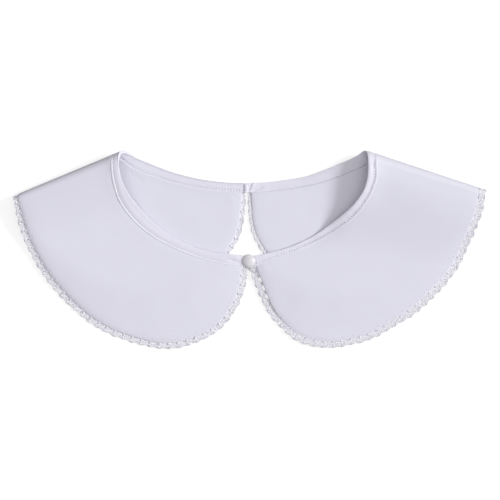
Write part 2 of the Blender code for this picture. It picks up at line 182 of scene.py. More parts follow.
# Each half's outline as seen from above, and its relief
LEFT = SimpleNamespace(
    word="left",
    side=-1,
    shoulder_neck=Spot(89.7, 68.9),
    shoulder_hem=Spot(159.4, 40.1),
    front_band=rows_of(
        Band,
        (1.9, -4, 1.9, -11.6), (5.2, -3.7, 5.9, -11.3), (15.8, -2.3, 16.5, -10.2),
        (24.2, -1.4, 27.9, -7.9), (35.5, 1.2, 43.1, -2.9), (47, 6.4, 54.5, 2), (58.2, 12.7, 65.9, 8.1),
        (65.9, 18.7, 75, 14.8), (73.5, 26.3, 83.4, 23.2), (81.7, 36.1, 91, 34.6),
        (87.6, 46.8, 94.8, 46.8), (89.8, 55.1, 95.7, 52.9), (90.4, 61.3, 96, 58.9),
    ),
    back_band=rows_of(
        Band,
        (80.8, 65.4, 88.2, 62.2), (73.5, 62, 77.3, 55.1), (54.5, 54.7, 58, 48.4),
        (35.5, 49.8, 38, 43.4), (16.5, 47.2, 18, 41), (3.6, 46.8, 3.6, 40.1),
    ),
    front_edge=rows_of(
        Spot,
        (5.6, -17), (6.2, -24), (8.3, -30.7), (12, -38.4), (16.7, -46), (22.7, -52.2), (30.3, -57.4),
        (41, -61.9), (53, -64.8), (64.5, -64.6), (75.5, -62.1), (87.2, -58.6), (98, -54.2),
        (111.4, -46), (124.9, -34), (135.8, -21.9), (144, -9.9), (151, 3.2), (156.6, 18), (159.3, 28.5),
    ),
    front_corner=Spot(22.7, -52.2),
    back_corner=Spot(29.0, -13.5),
    back_edge=rows_of(
        Spot,
        (149, 19), (135.5, 3), (115, -11), (91, -20.5), (66, -24), (45, -21.5), (29, -13.5),
        (15.9, -0.3), (9.4, 10), (6.8, 18.3), (5.9, 25), (5.2, 31),
    ),
    lace_width=rows_of(
        Width,
        (0, 4.4), (0.47, 4.5), (0.515, 3.2), (0.56, 4.5), (0.86, 4.5), (0.92, 3.2), (1, 3),
    ),
    edge_drop=rows_of(Width, (0, 0.2), (0.1, 0.3), (0.22, 0.8), (0.3, 0.95), (1, 0.95)),
    lace_rise=rows_of(Rise, (0, 0.9), (0.1, 0.7), (0.22, 0.1), (0.5, 0), (1, 0.2)),
    knot_rise=0.2,
    # How far out from the fold the front half comes down, at the neck and at the hem
    fall_neck=44.0,
    fall_hem=42.0,
    binding_levels=rows_of(
        Level,
        (0, 0), (0.25, 0.26), (0.6, 0.44), (0.8, 0.42), (1.5, 0.16), (4, 0.3), (7, 0.08), (8, 0.06),
    ),
    back_levels=rows_of(Level, (0, -0.1), (0.5, -0.1), (1.2, 0.06), (8, 0)),
    binding_strength=rows_of(Strength, (0, 0.3), (0.1, 0.5), (0.2, 0.9), (0.5, 1)),
    seam_gap=rows_of(Width, (0, -0.08), (0.55, -0.08), (0.62, -0.3), (1, -0.3)),
    stitch_pull=rows_of(Strength, (0, 0.06), (0.08, 0.4), (0.5, 0.4), (0.6, 1.3), (1, 0.8)),
    neck_lip=rows_of(
        Lip,
        (0, 0.2, 2.4), (0.3, 0.12, 1.6), (0.5, 0.08, 1.5), (0.56, -0.45, 1.4), (1, -0.4, 1.4),
    ),
    neck_rise=rows_of(
        Rise,
        (0, 0), (0.24, 0), (0.34, 0.5), (0.42, 0.9), (0.5, 0.9), (0.57, 0.4), (0.7, 0.3), (1, 0.2),
    ),
    front_creases=rows_of(
        Crease,
        (6, -8.6, 15, -6.4, -0.35, 1.3), (7, -5.4, 14, -4.4, 0.16, 1.5), (96, 30, 121, 12, 0.12, 8),
        (60, -22, 92, -34, -0.1, 10), (121, 30, 138, 6, -0.1, 8), (30, -20, 42, -46, 0.1, 9),
        (104, -10, 117, -30, 0.08, 8),
    ),
    back_creases=rows_of(
        Crease,
        (10, 33, 15, 37.5, 0.14, 2), (83.5, 54.5, 80.5, 50.5, -0.14, 0.9),
        (79.5, 53, 76.5, 49, -0.12, 0.9), (74, 51.5, 71.5, 48, 0.1, 1), (30, 20, 52, 28, 0.1, 9),
        (96, 26, 118, 8, -0.12, 8), (70, -2, 88, 12, 0.1, 9),
    ),
    # Stretches of the outer edge where the gaps in the lace stay open, as shares of it
    open_gaps=[],
)

RIGHT = SimpleNamespace(
    word="right",
    side=1,
    shoulder_neck=Spot(82.5, 69.2),
    shoulder_hem=Spot(160.3, 43.7),
    front_band=rows_of(
        Band,
        (-1.3, -4, -1.3, -11.8), (4.6, -3.6, 4.3, -11.3), (13.7, -1.8, 15, -7), (25.1, 1.2, 27.4, -3.2),
        (36.5, 5.7, 38.6, 1.4), (47.9, 11.8, 50, 6.9), (59.3, 20.2, 63, 14.6), (70.7, 30.2, 75.6, 25.4),
        (78.3, 40, 84.4, 38.2), (81.6, 48.8, 88.3, 48), (82.4, 56, 89, 54.4), (82.3, 62.1, 88.7, 59.8),
    ),
    back_band=rows_of(
        Band,
        (75, 66.2, 83.6, 61.6), (63.1, 60.4, 70.7, 54.9), (51.7, 55.6, 57.3, 49.7),
        (40.3, 51.8, 44, 45.9), (25.1, 49.1, 26, 42.7), (9.9, 47.4, 10.5, 40.8),
        (-3.3, 46.8, -3.3, 39.9),
    ),
    front_edge=rows_of(
        Spot,
        (6.2, -15.3), (8.2, -20), (10.4, -25.6), (13.2, -33), (17.6, -42), (25.8, -51.6), (35, -59.4),
        (46.4, -63.2), (57.5, -64.1), (69, -62.4), (84, -58.2), (98, -50.5), (111.6, -41.9),
        (122.4, -32.8), (133.7, -21.2), (142.3, -9.6), (148.4, 3.2), (154.6, 18.4), (158.4, 29.5),
    ),
    front_corner=Spot(22.2, -46.2),
    back_corner=Spot(27.0, -14.5),
    back_edge=rows_of(
        Spot,
        (148.5, 20), (134.5, 3.5), (113, -10.5), (89, -20), (64, -24), (43, -22.5), (27, -14.5),
        (13.4, -2.3), (6.6, 8), (3.7, 16), (2.3, 23.5), (1.8, 30.5),
    ),
    lace_width=rows_of(
        Width,
        (0, 6.2), (0.05, 5.6), (0.1, 4.7), (0.2, 4.7), (0.3, 5.2), (0.44, 5.2), (0.48, 5.5),
        (0.515, 4.6), (0.56, 4.5), (0.86, 4.5), (0.92, 2.9), (1, 2.7),
    ),
    edge_drop=rows_of(Width, (0, 0.4), (0.09, 0.5), (0.14, 0.6), (0.2, 0.5), (0.28, 0.25), (1, 0.2)),
    lace_rise=rows_of(Rise, (0, 0), (0.06, 0.05), (0.13, 0.75), (0.5, 0.75), (1, 0.1)),
    knot_rise=-0.2,
    fall_neck=66.0,
    fall_hem=54.0,
    binding_levels=rows_of(
        Level,
        (0, 0), (0.45, 0.36), (0.65, 0.36), (0.95, 0.3), (3, -0.14), (3.3, -0.14), (6, 0.46), (8, 0.46),
    ),
    back_levels=rows_of(Level, (0, 0), (8, 0)),
    binding_strength=rows_of(Strength, (0, 0.2), (0.12, 0.5), (0.2, 1), (0.5, 1)),
    seam_gap=rows_of(Width, (0, -0.1), (0.1, -0.4), (0.52, -0.4), (0.6, 0.24), (0.85, 0.2), (1, 0)),
    neck_lip=rows_of(Lip, (0, 0.4, 2.4), (0.5, 0.4, 2.4), (0.56, 0.7, 4), (1, 0.4, 2.4)),
    stitch_pull=rows_of(Strength, (0, 0.1), (0.06, 0.9), (0.35, 1.4), (0.5, 1.2), (0.6, 0.1), (1, 0.1)),
    neck_rise=rows_of(
        Rise,
        (0, 0), (0.16, -0.3), (0.22, -1), (0.28, -0.95), (0.33, 0.35), (0.38, 1.4), (0.43, 1.8),
        (0.5, 1.4), (0.57, 0.4), (0.67, 2.4), (0.73, 1.6), (0.82, 0.3), (0.92, 0.2), (1, 0.7),
    ),
    front_creases=rows_of(
        Crease,
        (92, 42, 104, 20, -0.1, 7), (112, 40, 136, 22, 0.1, 8), (48, -20, 74, -34, 0.1, 10),
        (90, -8, 112, -24, -0.1, 9), (20, -20, 30, -40, -0.08, 8), (9, -9.5, 13, -16, 0.12, 2.5),
    ),
    back_creases=rows_of(
        Crease,
        (1.6, 45.8, -1, 40.6, -0.6, 0.9), (9.5, 44.6, 1.8, 41, -0.5, 1), (4.2, 47.2, 0, 42.6, 0.4, 0.9),
        (-2.2, 46, -2, 40.6, 0.45, 0.7), (14, 28, 38, 34, 0.1, 8), (60, 30, 78, 44, -0.12, 7),
        (92, 24, 116, 10, 0.1, 8), (66, -4, 86, 8, -0.1, 9),
    ),
    open_gaps=[(0.014, 0.052)],
)


def ease(share):
    """A smooth step from 0 to 1."""
    share = np.clip(share, 0.0, 1.0)
    return share * share * (3.0 - 2.0 * share)


def smooth_table(value, table):
    """Reads rows of a value and its result, easing from each row to the next."""
    keys, results = np.array(table).T
    row = np.clip(np.searchsorted(keys, value, side="right") - 1, 0, len(keys) - 2)
    share = ease((value - keys[row]) / (keys[row + 1] - keys[row]))
    return results[row] + (results[row + 1] - results[row]) * share


def unit(vectors):
    return vectors / np.maximum(np.linalg.norm(vectors, axis=-1, keepdims=True), 1e-9)


def run_along(points):
    """The distance along each row of points, from its start."""
    steps = np.linalg.norm(np.diff(points, axis=-2), axis=-1)
    return np.concatenate([np.zeros(steps.shape[:-1] + (1,)), np.cumsum(steps, axis=-1)], axis=-1)


def circle(count):
    """Evenly spaced angles round a circle."""
    return 2 * math.pi * np.arange(count) / count


class Curve:
    """A smooth line through pattern points, read by the distance along it."""

    def __init__(self, points):
        points = np.asarray(points, dtype=float)
        before = np.vstack([2 * points[0] - points[1], points[:-1]])
        after = np.vstack([points[1:], 2 * points[-1] - points[-2]])
        slope = unit(after - before)
        share = np.arange(CURVE_STEPS)[:, None] / CURVE_STEPS
        spans = []
        for i in range(len(points) - 1):
            start, end = points[i], points[i + 1]
            reach = np.linalg.norm(end - start)
            spans.append(
                start * (2 * share**3 - 3 * share**2 + 1)
                + slope[i] * reach * (share**3 - 2 * share**2 + share)
                + end * (3 * share**2 - 2 * share**3)
                + slope[i + 1] * reach * (share**3 - share**2)
            )
        self.points = np.vstack(spans + [points[-1:]])
        self.arc = run_along(self.points)
        self.length = self.arc[-1]

    def at(self, distance):
        columns = [np.interp(distance, self.arc, column) for column in self.points.T]
        return np.stack(columns, axis=-1)

    def nearest(self, point):
        return self.arc[np.argmin(np.linalg.norm(self.points - point, axis=1))]

    def side_step(self, distance):
        """The unit direction out from the neck, on a line from the front to the back."""
        ahead = self.at(np.minimum(distance + 0.5, self.length))
        behind = self.at(np.maximum(distance - 0.5, 0.0))
        along = unit(ahead - behind)
        return np.stack([-along[..., 1], along[..., 0]], axis=-1)

    def beside(self, distance, out):
        """Pattern points this far out from the line."""
        return self.at(distance) + self.side_step(distance) * np.asarray(out)[..., None]

    def shifted(self, out, gaps=None, spacing=2.0):
        """The line moved out, and by rows of gaps at shares of its length."""
        distance = np.linspace(0.0, self.length, int(self.length / spacing) + 1)
        out = np.full(len(distance), out)
        if gaps:
            out += smooth_table(distance / self.length, gaps)
        return Curve(self.beside(distance, out))

    def measure(self, pattern, spacing=0.25):
        """How far pattern points lie from the line, and how far along it."""
        if not hasattr(self, "tree"):
            self.marks = np.linspace(0.0, self.length, int(self.length / spacing) + 1)
            self.tree = KDTree(len(self.marks))
            for i, (x, y) in enumerate(self.at(self.marks)):
                self.tree.insert((x, y, 0.0), i)
            self.tree.balance()
        flat = pattern.reshape(-1, 2)
        found = [self.tree.find((x, y, 0.0)) for x, y in flat]
        along = self.marks[[index for _, index, _ in found]]
        away = np.array([distance for _, _, distance in found])
        return away.reshape(pattern.shape[:-1]), along.reshape(pattern.shape[:-1])


class Fold:
    """One half's edges and its shoulder fold, which carries flat pattern points into space.

    A pattern point is (over, along): its distance over the fold, below zero on the front
    half, and its distance along the fold line from the neck.
    """

    def __init__(self, half):
        self.half = half
        self.start = np.array(half.shoulder_neck)
        line = np.array(half.shoulder_hem) - self.start
        self.length = np.linalg.norm(line)
        self.line = line / self.length
        self.inward = np.array([self.line[1], -self.line[0]])
        self.back_outline = np.array(half.back_edge + outline_of_seam(half.back_band))
        front, back = np.array(half.front_band), np.array(half.back_band)
        self.neck = self.through(front[:, :2], back[:, :2])
        self.seam = self.through(front[:, 2:], back[:, 2:])
        inner = self.seam.shifted(SEAM_GAP)
        start = inner.at(inner.nearest(self.flat_front(half.front_edge[0])))
        end = inner.at(inner.nearest(self.flat_back(half.back_edge[-1])))
        front_spots = self.flat_front(half.front_edge)
        back_spots = self.flat_back(half.back_edge)
        self.edge = Curve(np.vstack([start[None], front_spots, back_spots, end[None]]))
        self.scallops = round(self.edge.length / SCALLOP_PITCH)
        self.pitch = self.edge.length / self.scallops

    def through(self, front, back):
        return Curve(np.vstack([self.flat_front(front), self.flat_back(back)]))

    def radius(self, along):
        share = np.clip(along / self.length, -0.2, 1.1)
        return ROLL_NECK + (ROLL_HEM - ROLL_NECK) * share

    def arc(self, along):
        return math.pi * self.radius(along)

    def turn(self, pattern):
        """How far round the roll of the fold a point lies, from 0 to half a turn."""
        return np.clip(pattern[..., 0] / self.radius(pattern[..., 1]), 0.0, math.pi)

    def roll_ends(self, curve):
        """Distances along a curve at which the roll starts on top and ends underneath."""
        over, along = curve.points.T
        return np.interp(0.0, over, curve.arc), np.interp(0.0, over - self.arc(along), curve.arc)

    def showing(self, curve, start, end):
        """Where the outer face, 1, and then the inner one, -1, show along a curve."""
        top, under = self.roll_ends(curve)
        return (start, under, 1), (top, curve.length - end, -1)

    def inset(self, along):
        return self.radius(along) + CLOTH_MID / 2

    def from_fold(self, spots):
        """How far along the fold places are, and how far inward from it."""
        step = np.asarray(spots, dtype=float)[..., :2] - self.start
        along = step @ self.line
        return along, step @ self.inward - self.inset(along)

    def flat_front(self, spots):
        """Pattern points of places seen on the front half."""
        along, inward = self.from_fold(spots)
        return np.stack([-inward, along], axis=-1)

    def flat_back(self, spots):
        """Pattern points of places seen on the back half."""
        along, inward = self.from_fold(spots)
        return np.stack([self.arc(along) + inward, along], axis=-1)

    def front_height(self, plan, depth, along):
        """The height of the front half's underside over the table."""
        beyond = outside(plan, self.back_outline)
        drop = ease((beyond - DROP_START) / (DROP_END - DROP_START))
        low = (CLOTH_MID + LAYER_GAP) * (1.0 - drop)
        share = np.clip(along / self.length, 0.0, 1.0)
        fall = self.half.fall_neck + (self.half.fall_hem - self.half.fall_neck) * share
        return low + (2.0 * self.radius(along) - low) * (1.0 - ease(depth / fall))

    def place(self, pattern, thick):
        """The middle of an uncreased wall, for a wall this thick at each point."""
        over, along = pattern[..., 0], pattern[..., 1]
        radius = self.radius(along)
        turn = self.turn(pattern)
        depth = np.where(over < 0.0, -over, np.maximum(over - self.arc(along), 0.0))
        reach = depth + self.inset(along) - radius * np.sin(turn)
        plan = self.start + along[..., None] * self.line + reach[..., None] * self.inward
        height = np.where(
            over < 0.0,
            self.front_height(plan, depth, along),
            radius * (1.0 + np.cos(turn)),
        )
        return np.concatenate([plan, (height + thick / 2)[..., None]], axis=-1)

    def out(self, pattern, thick):
        """The direction out of the wall's outer face, which the back half turns down."""
        step = 0.05
        over_step, along_step = np.array([step, 0.0]), np.array([0.0, step])
        over = self.place(pattern + over_step, thick) - self.place(pattern - over_step, thick)
        along = self.place(pattern + along_step, thick) - self.place(pattern - along_step, thick)
        return unit(np.cross(along, over))

    def lift(self, pattern):
        """How far the raised neck edge and the creases lift the wall, as seen from above."""
        away, along = self.neck.measure(pattern)
        rise = np.interp(along / self.neck.length, *np.array(self.half.neck_rise).T)
        lift = rise * np.exp(-((away / NECK_RISE_REACH) ** 2))
        on_front = pattern[..., 0] < self.arc(pattern[..., 1]) / 2
        for creases, flat, seen in (
            (self.half.front_creases, self.flat_front, on_front),
            (self.half.back_creases, self.flat_back, ~on_front),
        ):
            for row in creases:
                ends = flat([[row.x1, row.y1], [row.x2, row.y2]])
                side = ends[1] - ends[0]
                step = pattern - ends[0]
                share = (step @ side) / (side @ side)
                across = np.linalg.norm(step - share[..., None] * side, axis=-1)
                along_fade = np.exp(-(np.abs(2 * share - 1) ** 3))
                across_fade = np.exp(-((across / row.width) ** 2))
                lift = lift + seen * row.height * along_fade * across_fade
        return lift

    def middle(self, pattern, thick):
        """The middle of the creased wall."""
        lift = self.lift(pattern) * np.cos(self.turn(pattern))
        return self.place(pattern, thick) + self.out(pattern, thick) * lift[..., None]

    def on_face(self, pattern, thick, height, face):
        """Points over the outer face, 1, or the inner one, -1, and the way up there."""
        up = self.out(pattern, thick) * face
        rise = np.asarray(thick / 2 + height)[..., None]
        return self.middle(pattern, thick) + up * rise, up


def outline_of_seam(band):
    """The seam's spots, from the join at the back of the neck to the shoulder."""
    return [Spot(row.seam_x, row.seam_y) for row in reversed(band)]


def outside(plan, outline):
    """How far points lie outside a closed outline, zero within it."""
    flat = plan.reshape(-1, 2)
    nearest = np.full(len(flat), np.inf)
    hits = np.zeros(len(flat), dtype=int)
    for start, end in zip(outline, np.roll(outline, -1, axis=0)):
        side = end - start
        share = np.clip((flat - start) @ side / (side @ side), 0.0, 1.0)
        gap = np.linalg.norm(flat - start - share[:, None] * side, axis=1)
        nearest = np.minimum(nearest, gap)
        if side[1] == 0.0:
            continue
        crossing = start[0] + (flat[:, 1] - start[1]) / side[1] * side[0]
        spans = (flat[:, 1] < start[1]) != (flat[:, 1] < end[1])
        hits += spans & (flat[:, 0] < crossing)
    return np.where(hits % 2 == 1, 0.0, nearest).reshape(plan.shape[:-1])


def stations(curve, fold, start, end, steps):
    """Distances along a curve, with the roll of the shoulder as steps of its own."""
    top, under = fold.roll_ends(curve)
    front = np.linspace(start, top, steps["front"] + 1)
    roll = np.linspace(top, under, steps["fold"] + 1)
    back = np.linspace(under, end, steps["back"] + 1)
    return front, roll, back


def patch(start, end, near, far):
    """Points across a four-sided stretch of cloth, from its rungs and its long edges."""
    u = np.linspace(0.0, 1.0, len(near))[:, None, None]
    v = crowded(len(start))[None, :, None]
    along = (1 - u) * start[None] + u * end[None]
    across = (1 - v) * near[:, None] + v * far[:, None]
    first = (1 - v) * start[0] + v * start[-1]
    last = (1 - v) * end[0] + v * end[-1]
    return along + across - (1 - u) * first - u * last


def crowded(count):
    """Shares from 0 to 1, closer together at both ends."""
    share = np.linspace(0.0, 1.0, count)
    return (share + (1.0 - np.cos(math.pi * share)) / 2.0) / 2.0


def rung(start, end):
    """The straight row of pattern points from the neck seam to the outer edge."""
    share = crowded(STEPS["rows"])[:, None]
    return (1 - share) * start + share * end


def panel_pattern(fold):
    """Pattern points of one half's cloth: front, shoulder roll and back."""
    half = fold.half
    seam = fold.seam.shifted(EDGE_ROUND / 2, half.seam_gap)
    edge = fold.edge.shifted(-EDGE_ROUND)
    start, end = seam.nearest(edge.points[0]), seam.nearest(edge.points[-1])
    low_corner = edge.nearest(fold.flat_front(half.front_corner))
    far_corner = edge.nearest(fold.flat_back(half.back_corner))
    near = [seam.at(part) for part in stations(seam, fold, start, end, STEPS)]
    far = [edge.at(part) for part in stations(edge, fold, low_corner, far_corner, STEPS)]
    share = crowded(STEPS["rows"])
    front_end = edge.at(share * low_corner)
    back_end = edge.at(edge.length - share * (edge.length - far_corner))
    front = patch(front_end, rung(near[0][-1], far[0][-1]), near[0], far[0])
    roll = [rung(a, b) for a, b in zip(near[1][1:-1], far[1][1:-1])]
    back = patch(rung(near[2][0], far[2][0]), back_end, near[2], far[2])
    return np.concatenate([front, np.array(roll), back])


def panel_thickness(fold, pattern):
    """Full in the middle and thin at the turned edges, pulled in at each scallop."""
    to_edge, along_edge = fold.edge.measure(pattern)
    to_seam, _ = fold.seam.measure(pattern)
    on_front = ease(-pattern[..., 0] / FRONT_BLEND)
    full = CLOTH_MID + FRONT_PUFF * on_front
    drop = smooth_table(along_edge / fold.edge.length, fold.half.edge_drop)
    drop = BACK_THINNING + (drop - BACK_THINNING) * on_front
    seam_off = 1.0 - np.sin(math.pi / 2 * np.clip(to_seam / SEAM_REACH, 0.0, 1.0))
    pucker = 0.5 + 0.5 * np.cos(2 * math.pi * along_edge / fold.pitch)
    pull = PUCKER_DEPTH * np.exp(-to_edge / PUCKER_REACH) * pucker
    thick = full - drop * np.exp(-to_edge / EDGE_REACH) - (full - INNER_EDGE) * seam_off - pull
    return np.maximum(thick, LEAST_CLOTH)


def binding_thickness(fold, from_neck, from_seam, along):
    """Rounded off at the neck, with a stitched valley and a ridge beside the seam."""
    half = fold.half
    share = along / fold.neck.length
    on_back = ease((share - BACK_SHARE) / BACK_BLEND)
    level = smooth_table(from_seam, half.binding_levels)
    level *= smooth_table(share, half.binding_strength)
    level += (smooth_table(from_seam, half.back_levels) - level) * on_back
    most = smooth_table(share, half.stitch_pull)
    drop = smooth_table(share, [(row.share, row.drop) for row in half.neck_lip])
    reach = smooth_table(share, [(row.share, row.reach) for row in half.neck_lip])
    neck_off = 1.0 - np.sin(math.pi / 2 * np.clip(from_neck / reach, 0.0, 1.0))
    hole = np.exp(-(((from_seam - STITCH_IN) / STITCH_WIDTH) ** 2))
    pull = most * (0.5 + 0.5 * np.cos(2 * math.pi * along / STITCH_PITCH)) ** 2
    ruffle = RUFFLE * np.sin(along * 0.9) * np.sin(along * 0.37 + 1.0)
    return BINDING_FULL + level - drop * neck_off - hole * pull + ruffle


def binding_pattern(fold):
    """Pattern points across the binding, with distances from both edges and along it."""
    lines = []
    for curve, out in ((fold.neck, BINDING_ROUND), (fold.seam, -BINDING_ROUND)):
        parts = stations(curve, fold, BINDING_START, curve.length - BINDING_JOIN, BINDING_STEPS)
        distance = np.concatenate([parts[0], parts[1][1:-1], parts[2]])
        lines.append(curve.beside(distance, np.full(len(distance), out)))
    width = np.linalg.norm(lines[1] - lines[0], axis=1)[:, None]
    fine = np.arange(20) * 0.15
    coarse = crowded(14)[None, :-1] * (width - fine[-1])
    ends = width - fine[::-1][None, :]
    inner = np.concatenate([coarse, ends], axis=1)
    share = (inner / width)[..., None]
    pattern = lines[0][:, None] * (1 - share) + lines[1][:, None] * share
    along = run_along(lines[0])
    from_neck = inner + BINDING_ROUND
    from_seam = width - inner + BINDING_ROUND
    return pattern, from_neck, from_seam, np.broadcast_to(along[:, None], inner.shape)


# Meshes


def grid_faces(rows, columns, first=0):
    """Quads over a grid of points, numbered row by row."""
    corner = np.arange(rows - 1)[:, None] * columns + np.arange(columns - 1)[None, :] + first
    corner = corner.ravel()
    return np.stack([corner, corner + columns, corner + columns + 1, corner + 1], axis=1)


def shell(middle, thick, reach=EDGE_ROUND):
    """A closed wall about a grid of middle points, its edges rounded this far out."""
    rows, columns = middle.shape[:2]
    down = np.gradient(middle, axis=0)
    across = np.gradient(middle, axis=1)
    out = unit(np.cross(across, down))
    border = [(i, 0) for i in range(rows)]
    border += [(rows - 1, j) for j in range(1, columns)]
    border += [(i, columns - 1) for i in range(rows - 2, -1, -1)]
    border += [(0, j) for j in range(columns - 2, 0, -1)]
    at = tuple(np.array(border).T)
    rim, rim_out, rim_half = middle[at], out[at], thick[at][:, None] / 2
    away = unit(np.cross(np.roll(rim, -1, axis=0) - np.roll(rim, 1, axis=0), rim_out))
    if (away[rows // 2] * (middle[rows // 2, 0] - middle[rows // 2, 1])).sum() < 0:
        away = -away
    points = [(middle + out * thick[..., None] / 2).reshape(-1, 3)]
    points.append((middle - out * thick[..., None] / 2).reshape(-1, 3))
    count, ring = rows * columns, len(border)
    loops = [at[0] * columns + at[1]]
    for k, degrees in enumerate(RIM_ANGLES):
        angle = math.radians(degrees)
        side = math.cos(angle) * reach * away
        points.append(rim + side + rim_half * math.sin(angle) * rim_out)
        loops.append(2 * count + k * ring + np.arange(ring))
    loops.append(loops[0] + count)
    faces = [grid_faces(rows, columns), grid_faces(rows, columns, count)[:, ::-1]]
    for high, low in zip(loops, loops[1:]):
        faces.append(np.stack([high, low, np.roll(low, -1), np.roll(high, -1)], axis=1))
    return np.vstack(points), [tuple(face) for face in np.vstack(faces).tolist()]


class Threads:
    """Round threads gathered for one mesh."""

    def __init__(self):
        self.points = []
        self.faces = []
        self.count = 0

    def frame(self, paths, ups, closed):
        """The directions along each path, across it and up from the cloth."""
        if closed:
            along = np.roll(paths, -1, axis=1) - np.roll(paths, 1, axis=1)
        else:
            along = np.gradient(paths, axis=1)
        along = unit(along)
        across = unit(np.cross(along, ups))
        return across, np.cross(across, along)

    def add(self, paths, ups, radius, closed=False, sides=THREAD_SIDES):
        """A tube on each row of a batch of paths, with rounded ends unless it is closed."""
        across, up = self.frame(paths, ups, closed)
        count, length = paths.shape[:2]
        size = np.full(length, radius)
        if not closed:
            share = np.linspace(-1.0, 1.0, length)
            size = radius * np.sqrt(np.clip(1.0 - share**8, 0.02, 1.0))
        angle = circle(sides)
        turn = np.cos(angle)[:, None] * across[:, :, None] + np.sin(angle)[:, None] * up[:, :, None]
        self.points.append((paths[:, :, None] + size[:, None, None] * turn).reshape(-1, 3))
        ring = np.arange(sides)
        after = np.roll(ring, -1)
        low = np.arange(length if closed else length - 1)[:, None] * sides
        high = (low + sides) % (length * sides)
        quads = np.stack([low + ring, high + ring, high + after, low + after], axis=-1)
        starts = self.count + np.arange(count) * length * sides
        faces = quads.reshape(-1, 4)[None] + starts[:, None, None]
        self.faces += [tuple(face) for face in faces.reshape(-1, 4).tolist()]
        if not closed:
            for first in starts.tolist():
                self.faces.append(tuple(range(first, first + sides)))
                last = first + (length - 1) * sides
                self.faces.append(tuple(range(last + sides - 1, last - 1, -1)))
        self.count += count * length * sides

    def add_twisted(self, paths, ups, radius, closed=False, twist=CORD_TWIST):
        """Two strands wound round each other along each path."""
        arc = run_along(paths)
        total = arc[:, -1:]
        if closed:
            total = total + np.linalg.norm(paths[:, 0] - paths[:, -1], axis=1)[:, None]
            arc = arc / total * np.maximum(np.round(total / twist), 1) * twist
        across, up = self.frame(paths, ups, closed)
        for start in (0.0, math.pi):
            turn = (2 * math.pi * arc / twist + start)[..., None]
            strand = paths + radius * STRAND_OFF * (np.cos(turn) * across + np.sin(turn) * up)
            self.add(strand, ups, radius * STRAND_SIZE, closed)

    def piece(self, name, finish, side=1):
        return add_piece(name, np.vstack(self.points), self.faces, finish, side)


def add_piece(name, points, faces, finish, side=1):
    """An object made of points in millimetres, mirrored for the left half."""
    data = bpy.data.meshes.new(name)
    data.from_pydata((points * np.array([side, 1.0, 1.0]) * MM).tolist(), [], faces)
    mesh = bmesh.new()
    mesh.from_mesh(data)
    bmesh.ops.recalc_face_normals(mesh, faces=mesh.faces[:])
    mesh.to_mesh(data)
    mesh.free()
    data.shade_smooth()
    data.materials.append(finish)
    piece = bpy.data.objects.new(name, data)
    bpy.context.scene.collection.objects.link(piece)
    return piece


# Finishes


class Value:
    """A shader value whose sums and products add their own nodes."""

    def __init__(self, finish, socket):
        self.finish = finish
        self.socket = socket

    def math(self, operation, first, second=0.0):
        return self.finish.node("ShaderNodeMath", {"operation": operation}, {0: first, 1: second})

    def __add__(self, other):
        return self.math("ADD", self, other)

    def __sub__(self, other):
        return self.math("SUBTRACT", self, other)

    def __rsub__(self, other):
        return self.math("SUBTRACT", other, self)

    def __mul__(self, other):
        return self.math("MULTIPLY", self, other)

    __radd__ = __add__
    __rmul__ = __mul__

    def sine(self):
        return self.math("SINE", self)


class Nodes:
    """The nodes of a finish or of the surround."""

    def __init__(self, holder):
        holder.use_nodes = True
        self.tree = holder.node_tree

    def node(self, kind, settings, sockets, output=0):
        """Adds a node and gives one of its outputs as a value."""
        node = self.tree.nodes.new(kind)
        for key, value in settings.items():
            setattr(node, key, value)
        for key, value in sockets.items():
            if isinstance(value, Value):
                self.tree.links.new(value.socket, node.inputs[key])
            else:
                node.inputs[key].default_value = value
        return Value(self, node.outputs[output])

    def blend(self, share, first, second):
        """A colour between two colours."""
        settings = {"data_type": "RGBA"}
        return self.node("ShaderNodeMix", settings, {0: share, 6: first, 7: second}, 2)


class Finish(Nodes):
    """A material whose varying colours and bumps come from nodes."""

    def __init__(self, name, roughness, **constants):
        self.material = bpy.data.materials.new(name)
        super().__init__(self.material)
        self.shader = self.tree.nodes["Principled BSDF"]
        self.shader.inputs["Roughness"].default_value = roughness
        for socket, value in constants.items():
            self.shader.inputs[socket.replace("_", " ").title()].default_value = value

    def place(self):
        return self.node("ShaderNodeTexCoord", {}, {}, "Object")

    def noise(self, scale, detail=2.0):
        sockets = {"Vector": self.place(), "Scale": scale, "Detail": detail}
        return self.node("ShaderNodeTexNoise", {}, sockets)

    def color(self, value):
        self.tree.links.new(value.socket, self.shader.inputs["Base Color"])

    def bump(self, height, distance, strength):
        sockets = {"Height": height, "Distance": distance, "Strength": strength}
        normal = self.node("ShaderNodeBump", {}, sockets)
        self.tree.links.new(normal.socket, self.shader.inputs["Normal"])


def woven(finish, pitch):
    """The height of a plain weave over and under at this thread spacing, in metres."""
    parts = finish.node("ShaderNodeSeparateXYZ", {}, {0: finish.place()}).socket.node
    across, along = (Value(finish, parts.outputs[axis]) for axis in (0, 1))
    turns = 2 * math.pi / pitch
    return (across * turns).sine() * (along * turns).sine()


def cotton_finish(name, color, shade, pitch):
    """Plain woven cotton, a little uneven in tone."""
    finish = Finish(name, 0.92, sheen_weight=0.12, sheen_roughness=0.5)
    uneven = finish.noise(60.0, 3.0)
    finish.color(finish.blend(uneven, color, shade))
    slub = finish.noise(900.0, 2.0)
    finish.bump(woven(finish, pitch) * 0.5 + slub, distance=0.00004, strength=0.35)
    return finish.material


def thread_finish(name, color, shade, scale):
    """Soft spun cotton thread, spotted at random between two colours by the same noise that gives its
    bumps. On the lace the dark spots are painted shade, standing in for the shade in the net's small
    gaps.
    """
    finish = Finish(name, 0.95, sheen_weight=0.15, sheen_roughness=0.5)
    fibre_and_shade_speckle = finish.noise(scale, 3.0)
    # Speckle between the two colours: painted shade where the colours lie far apart, as on the lace, and
    # only uneven tone on the sewing thread
    finish.color(finish.blend((fibre_and_shade_speckle - 0.5) * 1.9 + 0.5, color, shade))
    finish.bump(fibre_and_shade_speckle, distance=0.00008, strength=0.5)
    return finish.material


